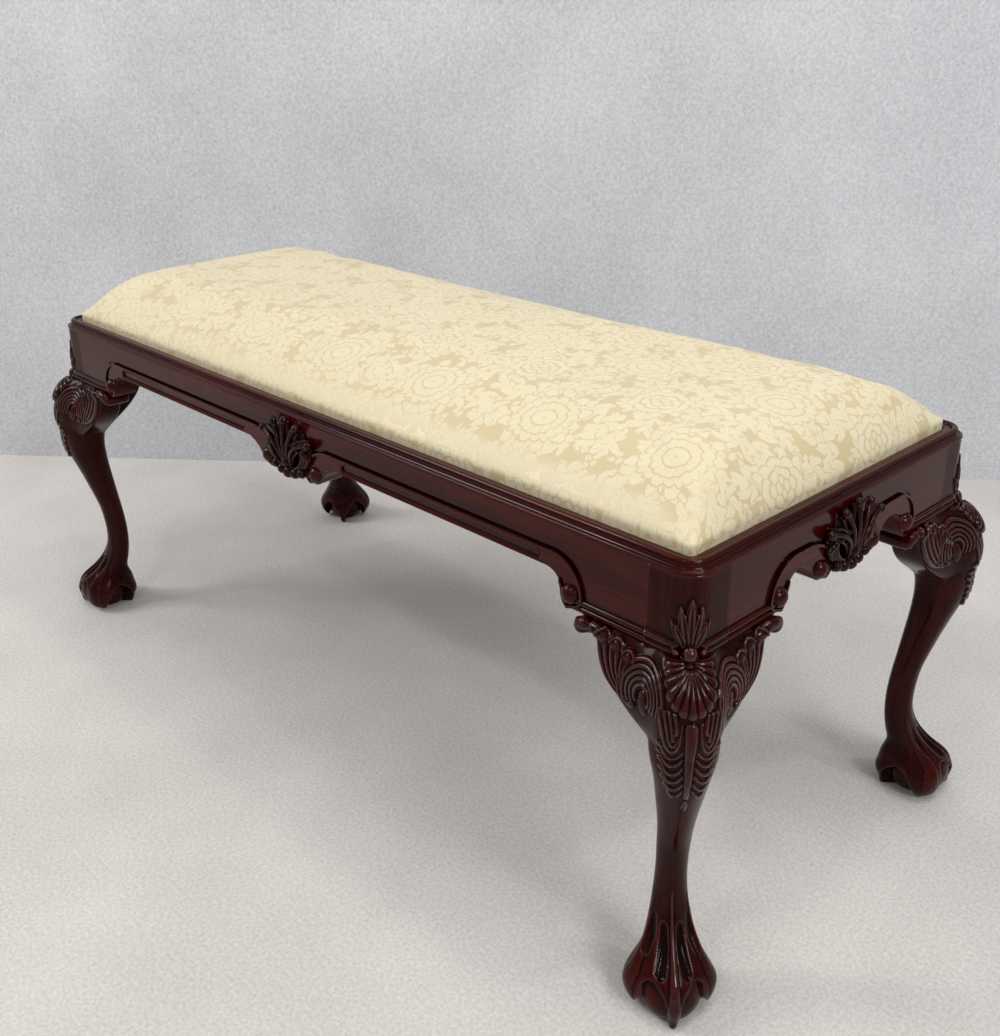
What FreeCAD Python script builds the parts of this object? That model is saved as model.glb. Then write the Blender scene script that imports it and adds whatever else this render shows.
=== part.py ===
import FreeCAD, Part
import math
import os

V = FreeCAD.Vector
UP = V(0, 0, 1)

# Frame sizes in mm: length along X, depth along Y, the floor at Z = 0
frame_length = 1060.0
frame_depth = 444.0
rail_top = 420.0
rail_thickness = 28.0
corner_radius = 24.0
post_width = 46.0

# Shaped lower edge of the rails, measured down from their top edge
corner_drop = 71.0
middle_drop = 39.5
shell_drop = 62.0
edge_band = 16.5
band_proud = 1.2
rim_width = 2.4
rim_proud = 3.2
groove_width = 2.6
groove_depth = 1.4
flute_radius = 11.0
flute_depth = 1.9

# Scrolls: a small eye beside the shell and a roundel where the rail deepens at the corner
eye_reach = 43.0
eye_drop = 53.0
eye_radius = 9.5
eye_sunk = 2.0
roundel_sunk = 2.5
roundel_drop = 57.0
long_roundel_reach = 126.0
end_roundel_reach = 117.0
roundel_radius = 10.5

# Double bead and palmette at the foot of the corner posts
bead_radius = 3.1
lower_bead = 1.2
upper_bead = 3.2
palmette_gap = 9.6
leaf_proud = 2.6
cabochon_radius = 6.8

# Mortise and tenon joints
tenon_length = 22.0
tenon_thickness = 12.0
tenon_shoulder_low = 14.0
tenon_shoulder_high = 12.0
joint_clearance = 0.15

# Carved shell at the middle of each rail
shell_backing = 33.0
shell_height = 56.0
shell_petals = 3
shell_gap = 0.3

# Top moulding
moulding_width = 18.0
moulding_height = 11.0

# Cabriole leg and claw-and-ball foot
ball_radius = 28.5
ball_half_length = 33.0
ball_height = 21.5
ball_offset = 3.0
foot_offset = -3.0
ankle_height = 112.0
ankle_offset = -30.0
ankle_radius = 14.6
talon_reach = 41.5
claw_half_width = 3.8
front_gap_angle = 30.0
front_gap_height = 40.5
rear_gap_angle = 140.0
rear_gap_height = 36.0
rear_gap_half_width = 18.0
section_points = 16

# Knee brackets
bracket_depth = 24.0
curl_reach = 117.0

# Raised shell on the front of each knee
knee_shell_flutes = 7
knee_shell_half_width = 19.0
knee_shell_top = 3.0
knee_shell_drop = 31.0
knee_shell_side_rise = 12.0
knee_shell_proud = 3.0

# Drop-in seat
seat_clearance = 1.5
seat_frame_width = 45.0
seat_frame_height = 15.0
cover_thickness = 1.5
crown_rise = 67.5
seat_corner_radius = 7.0
crown_corner_radius = 19.0
shoulder_reach = 150.0
web_width = 50.0
web_thickness = 1.4
long_webs = 3
cross_webs = 9
web_margin = 6.0
sheet_thickness = 1.0
hem_width = 24.0
layer_gap = 0.1
lift_gap = 1.5

# Tacks through the hem and the dust cover into the seat frame
tack_head_radius = 3.2
tack_head_height = 0.9
tack_shank_radius = 0.9
tack_shank_length = 10.0
tack_inset = 15.0
tack_end_distance = 24.0
long_tacks = 14
end_tacks = 6

# Corner blocks and their screws
block_size = 92.0
block_drop = 10.0
block_height = 34.0
block_nose = 12.0
block_clearance = 0.1
screw_radius = 2.0
screw_length = 30.0
screw_head_radius = 4.2
screw_head_height = 3.2
screw_sunk = 8.0
screw_from_end = 16.0
hole_clearance = 0.1

half_length = frame_length / 2
half_depth = frame_depth / 2
rail_bottom = rail_top - corner_drop
root2 = math.sqrt(2.0)

os.makedirs("parts", exist_ok=True)


def save(name, shape):
    shape.exportStep("parts/" + name + ".step")


def diagonal(u, v, z):
    """A point u outward along the corner's diagonal and v across it."""
    return V((u - v) / root2, (u + v) / root2, z)


def turned(shape, degrees):
    copy = shape.copy()
    copy.rotate(V(0, 0, 0), UP, degrees)
    return copy


def smooth_loop(points):
    curve = Part.BSplineCurve()
    curve.interpolate(points, PeriodicFlag=True)
    return Part.Wire(curve.toShape())


def smooth_edge(points):
    curve = Part.BSplineCurve()
    curve.interpolate(points)
    return curve.toShape()


def line(a, b):
    return Part.LineSegment(a, b).toShape()


def arc(a, b, c):
    return Part.Arc(a, b, c).toShape()


def box(x0, x1, y0, y1, z0, z1):
    return Part.makeBox(x1 - x0, y1 - y0, z1 - z0, V(x0, y0, z0))


def merged(shapes):
    return shapes[0].multiFuse(shapes[1:]).removeSplitter()


def fused_in_turn(shapes):
    whole = shapes[0]
    for shape in shapes[1:]:
        whole = whole.fuse(shape)
    return whole.removeSplitter()


def rounded_rectangle(half_x, half_y, radius, z):
    """A closed wire of four lines and four quarter arcs."""
    ix, iy = half_x - radius, half_y - radius
    s = radius / root2
    edges = []
    for sx, sy in ((1, 1), (-1, 1), (-1, -1), (1, -1)):
        along_x = V(sx * half_x, sy * iy, z)
        along_y = V(sx * ix, sy * half_y, z)
        middle = V(sx * (ix + s), sy * (iy + s), z)
        ends = (along_x, along_y) if sx == sy else (along_y, along_x)
        edges.append(arc(ends[0], middle, ends[1]))
    wire = []
    for i, edge in enumerate(edges):
        wire.append(edge)
        following = edges[(i + 1) % 4]
        wire.append(line(edge.Vertexes[-1].Point, following.Vertexes[0].Point))
    return Part.Wire(wire)


def petal(base, tip, radius):
    """A carved petal: round in section, pointed at its base and full near its tip."""
    axis = tip.sub(base)
    length = axis.Length
    start, end = V(0, 0, 0), V(0, 0, length)
    spine = [start, V(radius * 0.62, 0, length * 0.45), V(radius, 0, length * 0.8), end]
    profile = Part.Wire([smooth_edge(spine), line(end, start)])
    solid = Part.Face(profile).revolve(V(0, 0, 0), UP, 360)
    solid.Placement = FreeCAD.Placement(base, FreeCAD.Rotation(UP, axis))
    return solid


# Leg

def leg_section(z, outer, inner, half, pinch):
    """One level of the leg: outer and inner reach on the diagonal, half width across it."""
    centre, depth = (outer + inner) / 2, (outer - inner) / 2
    points = []
    for i in range(section_points):
        a = 2 * math.pi * i / section_points
        g = 1 - pinch * math.sin(2 * a) ** 2
        points.append(diagonal(centre + depth * math.cos(a) * g, half * math.sin(a) * g, z))
    return smooth_loop(points)


def leg_shaft():
    """The S-curved shaft: a bell with four tendon ridges over the ball, ankle, calf and knee core."""
    knee = rail_bottom
    ankle_out = ankle_offset + ankle_radius
    ankle_in = ankle_offset - ankle_radius
    c, r = foot_offset, talon_reach
    levels = [
        (-2, c + r - 5.5, c - r + 12, r - 15, 0.06),
        (8, c + r - 2, c - r + 5, r - 6, 0.08),
        (16, c + r - 0.4, c - r + 1.4, r - 1.6, 0.10),
        (25, c + r, c - r, r, 0.12),
        (36, c + r - 4, c - r + 2.5, r - 4, 0.09),
        (47, c + r - 12.5, c - r + 5, r - 11, 0.09),
        (57, 13.5, -36.5, 25.2, 0.10),
        (68, 2.5, -38.5, 21.2, 0.09),
        (83, -8, -42, 17.8, 0.07),
        (ankle_height, ankle_out, ankle_in, ankle_radius, 0.03),
        (knee - 200, -12.6, -42, ankle_radius, 0.03),
        (knee - 173, -4.5, -38.4, 15.8, 0.04),
        (knee - 145, 5.6, -34.6, 18.8, 0.05),
        (knee - 115, 18, -31.5, 23, 0.06),
        (knee - 90, 24.5, -32.5, 27.8, 0.06),
        (knee - 66, 23, -41, 28.5, 0.04),
        (knee - 30, 10, -52, 26, 0.02),
        (knee + 4, -16, -54, 20, 0.02),
    ]
    return Part.makeLoft([leg_section(*level) for level in levels], True, False)


def knee_section(z, ridge, roundness, reach, proud):
    """One level of the knee and its two brackets, seen from above."""
    centre = (ridge - roundness) / root2
    front = []
    for degrees in (45, 72, 100, 126):
        a = math.radians(degrees)
        front.append((centre + roundness * math.cos(a), centre + roundness * math.sin(a)))
    last_x, last_y = front[-1]
    front.append(((last_x - reach) / 2, (last_y + proud) / 2 - 1.2))
    front.append((-reach, proud))
    points = [V(x, y, z) for x, y in reversed(front)] + [V(y, x, z) for x, y in front[1:]]
    back = [V(-reach, -bracket_depth, z), V(-bracket_depth, -bracket_depth, z),
            V(-bracket_depth, -reach, z)]
    return Part.Wire([smooth_edge(points), line(points[-1], back[2]), line(back[2], back[1]),
                      line(back[1], back[0]), line(back[0], points[0])])


def knee_block(extra=0.0):
    """The knee with both brackets in one, its front face moved out by extra."""
    knee = rail_bottom
    levels = [
        (knee - 80, 19.5, 24, 29, 10),
        (knee - 68, 25.4, 28, 45, 12),
        (knee - 57, 27.2, 30, 61, 11.5),
        (knee - 42, 26.4, 30, 78, 9.5),
        (knee - 25, 21.8, 28, 89, 7.5),
        (knee - 11, 12.5, 26, 94, 5.5),
        (knee, -3, 24, 96, 3),
    ]
    wires = [knee_section(z, ridge + extra, roundness + extra, reach, proud + extra)
             for z, ridge, roundness, reach, proud in levels]
    return Part.makeLoft(wires, True, False)


def talon_gap(degrees, chain):
    """An opening beside the diagonal, drawn across the given direction and clear of the claws."""
    a = math.radians(degrees)
    out = diagonal(math.cos(a), math.sin(a), 0)
    side = UP.cross(out)
    axis = diagonal(foot_offset, 0, 0)
    reach = 2 * talon_reach
    placed = [tuple(axis.add(side * across).add(UP * z) for across, z in piece) for piece in chain]
    beside = turned(box(-reach, reach, claw_half_width, reach, -reach, reach), 45)
    return Part.Face(closed_from(placed)).extrude(out * reach).common(beside)


def talon_gaps():
    """Two arches that show the ball beside the front claw, and two plain ones behind."""
    h, below = front_gap_height, -4.0
    toe, crown, shoulder = (-17.5, below), (1, h), (12.6, h - 7.5)
    lobe, heel = (11.8, h - 17.5), (30, below)
    front = [(toe, (-14.4, h - 12.5), crown), (crown, (9.6, h - 1.8), shoulder),
             (shoulder, lobe), (lobe, (17, 14), heel), (heel, toe)]
    w, top, middle = rear_gap_half_width, rear_gap_height, rear_gap_height / 2
    rear = [((-w, below), (-w, middle), (0, top)), ((0, top), (w, middle), (w, below)),
            ((w, below), (-w, below))]
    gaps = [talon_gap(front_gap_angle, front), talon_gap(rear_gap_angle, rear)]
    return gaps + [gap.mirror(V(0, 0, 0), diagonal(0, 1, 0)) for gap in gaps]


def foot_ball():
    """The ball held by the claws, a little longer than it is wide."""
    outline = Part.Ellipse(V(0, 0, 0), ball_half_length, ball_radius)
    half = Part.ArcOfEllipse(outline, 0, math.pi).toShape()
    chord = line(V(-ball_half_length, 0, 0), V(ball_half_length, 0, 0))
    ball = turned(Part.Face(Part.Wire([half, chord])).revolve(V(0, 0, 0), V(1, 0, 0), 360), 45)
    ball.translate(diagonal(ball_offset, 0, ball_height))
    return ball


def claw_and_ball(shaft):
    """The shaft with the gaps between its talons cut away and the ball set inside."""
    return shaft.cut(Part.makeCompound(talon_gaps())).fuse(foot_ball())


def post():
    solid = box(-post_width, 0, -post_width, 0, rail_bottom - 6, rail_top)
    edges = [e for e in solid.Edges if abs(e.BoundBox.XMin) < 1e-6 and abs(e.BoundBox.YMin) < 1e-6]
    return solid.makeFillet(corner_radius, [e for e in edges if e.BoundBox.ZLength > corner_drop])


def post_beads():
    """The double bead along the foot of each outer face of the post."""
    beads = []
    for level in (lower_bead, upper_bead):
        z = rail_bottom + level * bead_radius
        along = Part.makeCylinder(bead_radius, post_width - corner_radius, V(-post_width, 0, z), V(1, 0, 0))
        beads.append(along.fuse(box(-post_width, -corner_radius, -bead_radius, 0, z - 1, z + 1)))
        beads.append(beads[-1].mirror(V(0, 0, 0), V(1, -1, 0)))
        ring = Part.makeTorus(corner_radius, bead_radius, V(-corner_radius, -corner_radius, z), UP)
        ring = ring.common(box(-corner_radius, 9, -corner_radius, 9, z - 5, z + 5))
        beads += ring.cut(turned(box(-60, 60, -palmette_gap, palmette_gap, z - 5, z + 5), 45)).Solids
    return beads


def corner_palmette():
    """Five pointed leaves raised on the rounded corner of the post, and a cabochon at their foot."""
    def at(across, rise):
        return V(across, -corner_radius, rail_bottom + rise)

    right = [(at(5, 7), at(12.5, 17), at(15.5, 31)),
             (at(15.5, 31), at(12.9, 27.9), at(9.8, 24)),
             (at(9.8, 24), at(10.2, 35), at(8.5, 45)),
             (at(8.5, 45), at(6.9, 39), at(4.6, 33)),
             (at(4.6, 33), at(3.9, 43), at(0, 52))]
    left = mirrored_chain(right)
    outline = closed_from(right + left + [(left[-1][2], right[0][0])])
    prism = Part.Face(outline).extrude(V(0, 2 * corner_radius, 0))
    axis = V(-corner_radius, -corner_radius, rail_bottom)
    ground = Part.makeCylinder(corner_radius + leaf_proud, corner_drop, axis)
    cabochon = Part.makeSphere(cabochon_radius, diagonal(-9.5, 0, rail_bottom + 3), diagonal(1, 0, 0))
    return [ground.common(turned(prism, -45)), cabochon]


def knee_shell():
    """A raised fan with a scalloped lower edge that follows the bulge of the knee."""
    top, low, half = rail_bottom - knee_shell_top, rail_bottom - knee_shell_drop, knee_shell_half_width
    behind = -corner_radius
    scallop = 0.48 * half / knee_shell_flutes * 2
    tips = []
    for k in range(knee_shell_flutes + 1):
        across = -half + 2 * half * k / knee_shell_flutes
        tips.append((across, low + knee_shell_side_rise * (across / half) ** 2))
    edges = []
    for (v0, z0), (v1, z1) in zip(tips, tips[1:]):
        lowest = diagonal(behind, (v0 + v1) / 2, (z0 + z1) / 2 - scallop)
        edges.append(arc(diagonal(behind, v0, z0), lowest, diagonal(behind, v1, z1)))
    first, last = diagonal(behind, *tips[0]), diagonal(behind, *tips[-1])
    upper_left = diagonal(behind, -cabochon_radius, top)
    upper_right = diagonal(behind, cabochon_radius, top)
    edges += [line(last, upper_right), line(upper_right, upper_left), line(upper_left, first)]
    prism = Part.Face(Part.Wire(edges)).extrude(diagonal(post_width - behind, 0, 0))
    return knee_block(knee_shell_proud).common(prism)


def mortises():
    """Slots in the post for the tenons of the two rails that meet there."""
    c = joint_clearance
    inner = -rail_thickness / 2 - tenon_thickness / 2 - c
    outer = -rail_thickness / 2 + tenon_thickness / 2 + c
    slot = box(-post_width - 1, -post_width + tenon_length + 0.5, inner, outer,
               tenon_low() - c, tenon_high() + c)
    return [slot, slot.mirror(V(0, 0, 0), V(1, -1, 0))]


def tenon_low():
    return rail_bottom + tenon_shoulder_low


def tenon_high():
    return rail_top - tenon_shoulder_high


def leg():
    reach = 200.0
    knee_box = box(-post_width, reach, -post_width, reach, 0, rail_bottom)
    floor = box(-reach, reach, -reach, reach, 0, rail_top)
    body = claw_and_ball(leg_shaft())
    upper = [post(), knee_block().common(knee_box), knee_shell()] + post_beads() + corner_palmette()
    body = fused_in_turn([body] + upper).common(floor)
    return body.cut(Part.makeCompound(mortises())).removeSplitter()


def knee_bracket():
    """The bracket beside the knee, under the rail that runs along -X, with its curled tip."""
    wing = knee_block().common(box(-200, -post_width, -100, 100, 0, rail_bottom))
    z = rail_bottom
    x = -curl_reach
    nose = [V(-84, 0, z), V(x + 9, 0, z), V(x, 0, z - 9), V(x + 8, 0, z - 17),
            V(-95, 0, z - 14), V(-84, 0, z - 25)]
    outline = Part.Wire([line(nose[0], nose[1]), arc(nose[1], nose[2], nose[3]),
                         arc(nose[3], nose[4], nose[5]), line(nose[5], nose[0])])
    curl = Part.Face(outline).extrude(V(0, bracket_depth + 4, 0))
    curl.translate(V(0, -bracket_depth, 0))
    return merged([wing, curl])


# Rails

def half_other_of(half):
    return half_depth if half == half_length else half_length


def mirrored_chain(chain):
    """The same line and arc pieces on the other side of X = 0, in running order."""
    return [tuple(V(-q.x, q.y, q.z) for q in reversed(piece)) for piece in reversed(chain)]


def closed_from(chain):
    """A wire through line (two points) and arc (three points) pieces, joined end to end."""
    edges = []
    for piece in chain:
        edges.append(arc(*piece) if len(piece) == 3 else line(*piece))
    return Part.Wire(edges)


def rail_places(half, roundel_reach):
    """The front plane of a rail and the centres of its two right-hand scroll ends."""
    face = -half_other_of(half)
    eye = V(eye_reach, face, rail_top - eye_drop)
    roundel = V(half - roundel_reach, face, rail_top - roundel_drop)
    return face, eye, roundel


def lower_edge(half, roundel_reach):
    """Right half of the rail's lower edge: shell, eye of the scroll, long arch and roundel."""
    face, eye, roundel = rail_places(half, roundel_reach)
    arch_z = rail_top - middle_drop

    def p(x, z):
        return V(x, face, z)

    middle = p(0, rail_top - shell_drop)
    inner = p(eye.x - 11, rail_top - shell_drop)
    lobe = p(eye.x + 9, eye.z - 6)
    tail = p(eye.x + min(35, 0.45 * (roundel.x - eye.x)), arch_z)
    spring = p(roundel.x - 30, arch_z)
    haunch = p(roundel.x - 10, roundel.z + 2)
    heel = p(roundel.x - 3, rail_bottom)
    return [(middle, inner),
            (inner, p(eye.x, eye.z - 11), lobe),
            (lobe, p((lobe.x + tail.x) / 2 - 2, eye.z + 6), tail),
            (tail, spring),
            (spring, p(roundel.x - 16, arch_z - 5), haunch),
            (haunch, p(roundel.x - 8, roundel.z - 7.5), heel)]


def rail_body(half, roundel_reach):
    face = -half_other_of(half)
    shoulder = half - post_width
    right = lower_edge(half, roundel_reach)
    heel = right[-1][2]
    corner = [V(shoulder, face, rail_bottom), V(shoulder, face, rail_top)]
    right += [(heel, corner[0]), (corner[0], corner[1])]
    left = mirrored_chain(right)
    outline = closed_from(right + [(corner[1], left[0][0])] + left)
    return Part.Face(outline).extrude(V(0, rail_thickness, 0))


def band_outline(half, roundel_reach):
    """The scrolled band along the arch: round the eye, along the edge and round the roundel."""
    face, eye, roundel = rail_places(half, roundel_reach)
    low = rail_top - middle_drop
    top = low + edge_band

    def p(x, z):
        return V(x, face, z)

    foot = p(eye.x - 8, eye.z - 11)
    neck = p(eye.x - 14, eye.z + 12)
    crest = p(eye.x + 22, top)
    bend = p(roundel.x - 26, top)
    fall = p(roundel.x + 14, roundel.z + 3)
    toe = p(roundel.x + 6, roundel.z - 11)
    start = p(eye.x + 9, eye.z - 6)
    edge = lower_edge(half, roundel_reach)
    chain = [(foot, p(eye.x - 18, eye.z), neck),
             (neck, p(eye.x, top - 6.5), crest),
             (crest, bend),
             (bend, p(roundel.x + 3, top - 9), fall),
             (fall, p(roundel.x + 13, roundel.z - 6), toe),
             (toe, edge[5][2])]
    back = [tuple(reversed(piece)) for piece in reversed(edge[2:])]
    return closed_from(chain + back + [(start, foot)])


def rail_band(half, roundel_reach):
    """The band's sunk ground, its raised rim and the quirk cut into the rail above it."""
    face, eye, roundel = rail_places(half, roundel_reach)
    ground = Part.Face(band_outline(half, roundel_reach))
    inner = ground.makeOffset2D(-rim_width)
    rim = ground.cut(inner).extrude(V(0, -rim_proud, 0))
    low = rail_top - middle_drop
    rim = rim.cut(box(eye.x + 4, roundel.x - 12, face - 20, face + 1, low - 40, low + rim_width + 1))
    quirk = ground.makeOffset2D(groove_width).extrude(V(0, groove_depth, 0))
    above = box(eye.x - 30, roundel.x + 30, face - 1, face + groove_depth, low + 4, rail_top)
    right = [ground.extrude(V(0, -band_proud, 0)), rim, quirk.common(above)]
    left = [piece.mirror(V(0, 0, 0), V(1, 0, 0)) for piece in right]
    return right[:2] + left[:2], [right[2], left[2]]


def band_flutes(half, roundel_reach):
    """A round-ended hollow along the straight part of each band."""
    face, eye, roundel = rail_places(half, roundel_reach)
    first, last = eye.x + 50, roundel.x - 40
    if last - first < edge_band:
        return []
    z = rail_top - middle_drop + edge_band / 2 - rim_width / 2
    y = face - band_proud - flute_radius + flute_depth
    flutes = []
    for sign in (1, -1):
        start, end = V(sign * first, y, z), V(sign * last, y, z)
        flutes.append(Part.makeCylinder(flute_radius, last - first, start, V(sign, 0, 0)))
        flutes += [Part.makeSphere(flute_radius, start), Part.makeSphere(flute_radius, end)]
    return flutes


def rail_trim(half, roundel_reach):
    """Balls at the ends of the scrolls and the double bead along the deep ends."""
    face, eye, roundel = rail_places(half, roundel_reach)
    near, far = half - post_width, roundel.x + roundel_radius * 0.6
    pieces = []
    for sign in (1, -1):
        roundel_centre = V(sign * roundel.x, face + roundel_sunk, roundel.z)
        eye_centre = V(sign * eye.x, face + eye_sunk, eye.z)
        pieces.append(Part.makeSphere(roundel_radius, roundel_centre, V(0, 1, 0)))
        pieces.append(Part.makeSphere(eye_radius, eye_centre, V(0, 1, 0)))
        for level in (lower_bead, upper_bead):
            start = V(sign * far, face, rail_bottom + level * bead_radius)
            pieces.append(Part.makeCylinder(bead_radius, near - far, start, V(sign, 0, 0)))
    return pieces


def rail_tenons(half):
    middle = -half_other_of(half) + rail_thickness / 2
    near, far = half - post_width - 1, half - post_width + tenon_length
    right = box(near, far, middle - tenon_thickness / 2, middle + tenon_thickness / 2,
                tenon_low(), tenon_high())
    return [right, right.mirror(V(0, 0, 0), V(1, 0, 0))]


def rail(half, roundel_reach):
    bands, quirks = rail_band(half, roundel_reach)
    body = rail_body(half, roundel_reach).cut(Part.makeCompound(quirks))
    solid = fused_in_turn([body] + bands)
    for flute in band_flutes(half, roundel_reach):
        solid = solid.cut(flute)
    return fused_in_turn([solid] + rail_trim(half, roundel_reach) + rail_tenons(half))


def shell_ornament(half):
    """The carved shell at the middle of a rail: ribbed petals over a row of beads."""
    face = -half_other_of(half)
    base_z = rail_top - shell_drop + 5
    backing = Part.makeCylinder(shell_backing, 2.4, V(0, face, base_z + 12), V(0, -1, 0))
    solid = backing.common(box(-50, 50, face - 5, face, base_z - 2, rail_top))
    right = []
    for i in range(1, shell_petals + 1):
        base = V(2.0 + 3.0 * i, face - 1.0, base_z + 1 + 0.8 * i)
        tip = V(13.6 * i, face - 4.2, base_z + shell_height - 1 - 2.1 * i * i)
        right.append(petal(base, tip, 6.3 - 0.25 * i))
        bead = V(9.6 * i, face - 3.6, base_z - 3.6 + 0.4 * i * i)
        right.append(Part.makeSphere(6.2 - 0.6 * i, bead, V(0, 1, 0)))
    left = [piece.mirror(V(0, 0, 0), V(1, 0, 0)) for piece in right]
    middle = [petal(V(0, face - 1.0, base_z + 2), V(0, face - 4.4, base_z + shell_height), 6.6),
              Part.makeSphere(6.2, V(0, face - 3.8, base_z - 4), V(0, 1, 0)),
              Part.makeSphere(8.5, V(0, face - 3, base_z + 9), V(0, 1, 0))]
    front = box(-90, 90, face - 40, face, base_z - 20, rail_top)
    for piece in right + left + middle:
        solid = solid.fuse(piece)
    return solid.common(front)


def scroll_room(half, roundel_reach):
    """The space of the two scrolls beside a shell, with a fitting gap all round."""
    face, eye, roundel = rail_places(half, roundel_reach)
    band = Part.Face(band_outline(half, roundel_reach)).makeOffset2D(shell_gap)
    right = [band.extrude(V(0, -rim_proud - shell_gap, 0)),
             Part.makeSphere(eye_radius + shell_gap, V(eye.x, face + eye_sunk, eye.z), V(0, 1, 0))]
    return right + [piece.mirror(V(0, 0, 0), V(1, 0, 0)) for piece in right]


# Top moulding

def moulding_strip(half):
    """One mitred side: rounded lip, cove, thumb, quirk and a flat that meets the seat."""
    other = half_other_of(half)
    w, h = moulding_width, moulding_height
    straight = half - corner_radius

    def q(d, z):
        return V(-straight, -other + d, rail_top + z)

    chain = [(q(0.6, 0), q(w, 0)), (q(w, 0), q(w, h * 0.72)), (q(w, h * 0.72), q(w * 0.68, h * 0.78)),
             (q(w * 0.68, h * 0.78), q(w * 0.64, h * 0.62)), (q(w * 0.64, h * 0.62), q(w * 0.6, h * 0.82)),
             (q(w * 0.6, h * 0.82), q(w * 0.44, h), q(w * 0.24, h * 0.72)),
             (q(w * 0.24, h * 0.72), q(w * 0.23, h * 0.42), q(w * 0.14, h * 0.26)),
             (q(w * 0.14, h * 0.26), q(-0.6, h * 0.16), q(0.6, 0))]
    face = Part.Face(closed_from(chain))
    bar = face.extrude(V(2 * straight, 0, 0))
    left = face.revolve(V(-straight, -straight_offset(other), 0), UP, -45)
    right = left.mirror(V(0, 0, 0), V(1, 0, 0))
    return merged([bar, left, right])


def straight_offset(other):
    return other - corner_radius


# Drop-in seat

seat_half_x = half_length - moulding_width - seat_clearance
seat_half_y = half_depth - moulding_width - seat_clearance
seat_bottom = rail_top + lift_gap
frame_bottom = seat_bottom + sheet_thickness
frame_top = frame_bottom + seat_frame_height
pad_bottom = frame_top + 2 * web_thickness + sheet_thickness + 4 * layer_gap
wrap = cover_thickness + 2 * layer_gap
dust_low = seat_bottom - sheet_thickness - layer_gap


def crown_profile(half, low, high, grow, at):
    """Half of a cushion's section: upright edge, soft shoulder, gentle rise; mirrored to a closed wire."""
    rise = high - low
    side = half + grow
    rises = ((0, 0), (2.5, 0.2), (13, 0.45), (38, 0.72), (80, 0.93), (shoulder_reach, 1))
    right = [at(side - inset, low + rise * share) for inset, share in rises]
    left = [at(inset - side, low + rise * share) for inset, share in rises]
    return Part.Wire([smooth_edge(right), line(right[-1], left[-1]),
                      smooth_edge(left), line(left[0], right[0])])


def seat_dome(grow):
    """The padded crown: where the long section and the cross section meet, with rounded corners."""
    low = pad_bottom
    high = rail_top + crown_rise - wrap + grow
    hx, hy = seat_half_x - wrap, seat_half_y - wrap
    reach = half_length

    def on_end(d, z):
        return V(-reach, d, z)

    def on_front(d, z):
        return V(d, -reach, z)

    bar = Part.Face(crown_profile(hy, low, high, grow, on_end)).extrude(V(2 * reach, 0, 0))
    slab = Part.Face(crown_profile(hx, low, high, grow, on_front)).extrude(V(0, 2 * reach, 0))
    plan = rounded_rectangle(hx + grow + 1, hy + grow + 1, crown_corner_radius, low)
    return bar.common(slab).common(Part.Face(plan).extrude(V(0, 0, crown_rise)))


def seat_prism(grow, low, high):
    outline = rounded_rectangle(seat_half_x + grow, seat_half_y + grow, seat_corner_radius, low)
    return Part.Face(outline).extrude(V(0, 0, high - low))


def seat_cover():
    """The damask: over the crown, down the sides of the seat frame and turned under as a hem."""
    grow = cover_thickness
    outer = merged([seat_dome(grow), seat_prism(-0.2, seat_bottom, pad_bottom + 0.01)])
    inner = merged([seat_dome(2 * layer_gap), seat_prism(-wrap, frame_bottom, pad_bottom + 0.01)])
    under = seat_prism(-wrap - hem_width, seat_bottom - 1, frame_bottom + 0.01)
    return outer.cut(merged([inner, under]))


def seat_frame():
    """Four seat rails with half-lapped corners in plan order, and one cross rail."""
    w, z0, z1 = seat_frame_width, frame_bottom + 0.1, frame_top
    hx, hy = seat_half_x - wrap - 0.1, seat_half_y - wrap - 0.1
    envelope = seat_prism(-wrap - 0.1, z0, z1)
    mid = (z0 + z1) / 2
    pieces = {}
    for name, sign in (("front", -1), ("back", 1)):
        lo, hi = sorted((sign * hy, sign * (hy - w)))
        right_lap = box(hx - w, hx, lo, hi, mid, z1)
        lap = [right_lap, right_lap.mirror(V(0, 0, 0), V(1, 0, 0))]
        pieces[name] = box(-hx, hx, lo, hi, z0, z1).common(envelope).cut(Part.makeCompound(lap))
    for name, sign in (("left", -1), ("right", 1)):
        lo, hi = sorted((sign * hx, sign * (hx - w)))
        body = box(lo, hi, -hy + w, hy - w, z0, z1)
        back_lap = box(lo, hi, hy - w - 1, hy, mid, z1)
        lap = [back_lap, back_lap.mirror(V(0, 0, 0), V(0, 1, 0))]
        pieces[name] = merged([body] + lap).common(envelope)
    pieces["cross"] = box(-w / 2, w / 2, -hy + w, hy - w, z0, z1 - 6)
    return pieces


def webbing_strips(count, half_span, half_reach, along_x, z):
    strips = []
    for i in range(count):
        centre = (i - (count - 1) / 2) * 2 * half_span / count
        if along_x:
            strips.append(box(-half_reach, half_reach, centre - web_width / 2, centre + web_width / 2,
                              z, z + web_thickness))
        else:
            strips.append(box(centre - web_width / 2, centre + web_width / 2, -half_reach, half_reach,
                              z, z + web_thickness))
    return Part.makeCompound(strips)


def tack_places():
    inset = wrap + tack_inset
    hx, hy = seat_half_x - inset, seat_half_y - inset
    places = []
    for x in evenly(hx - tack_end_distance, long_tacks):
        places += [(x, hy), (x, -hy)]
    for y in evenly(hy - tack_end_distance, end_tacks):
        places += [(hx, y), (-hx, y)]
    return places


def evenly(half_span, count):
    """Places from one end of a span to the other, the same distance apart."""
    return [half_span * (2 * i / (count - 1) - 1) for i in range(count)]


def tack(x, y):
    under = dust_low - layer_gap
    head = Part.makeCylinder(tack_head_radius, tack_head_height, V(x, y, under - tack_head_height))
    return head.fuse(tack_shank(x, y, tack_shank_radius))


def tack_shank(x, y, radius):
    under = dust_low - layer_gap - tack_head_height / 2
    return Part.makeCylinder(radius, tack_shank_length + 2 * sheet_thickness, V(x, y, under))


# Corner blocks

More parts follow.
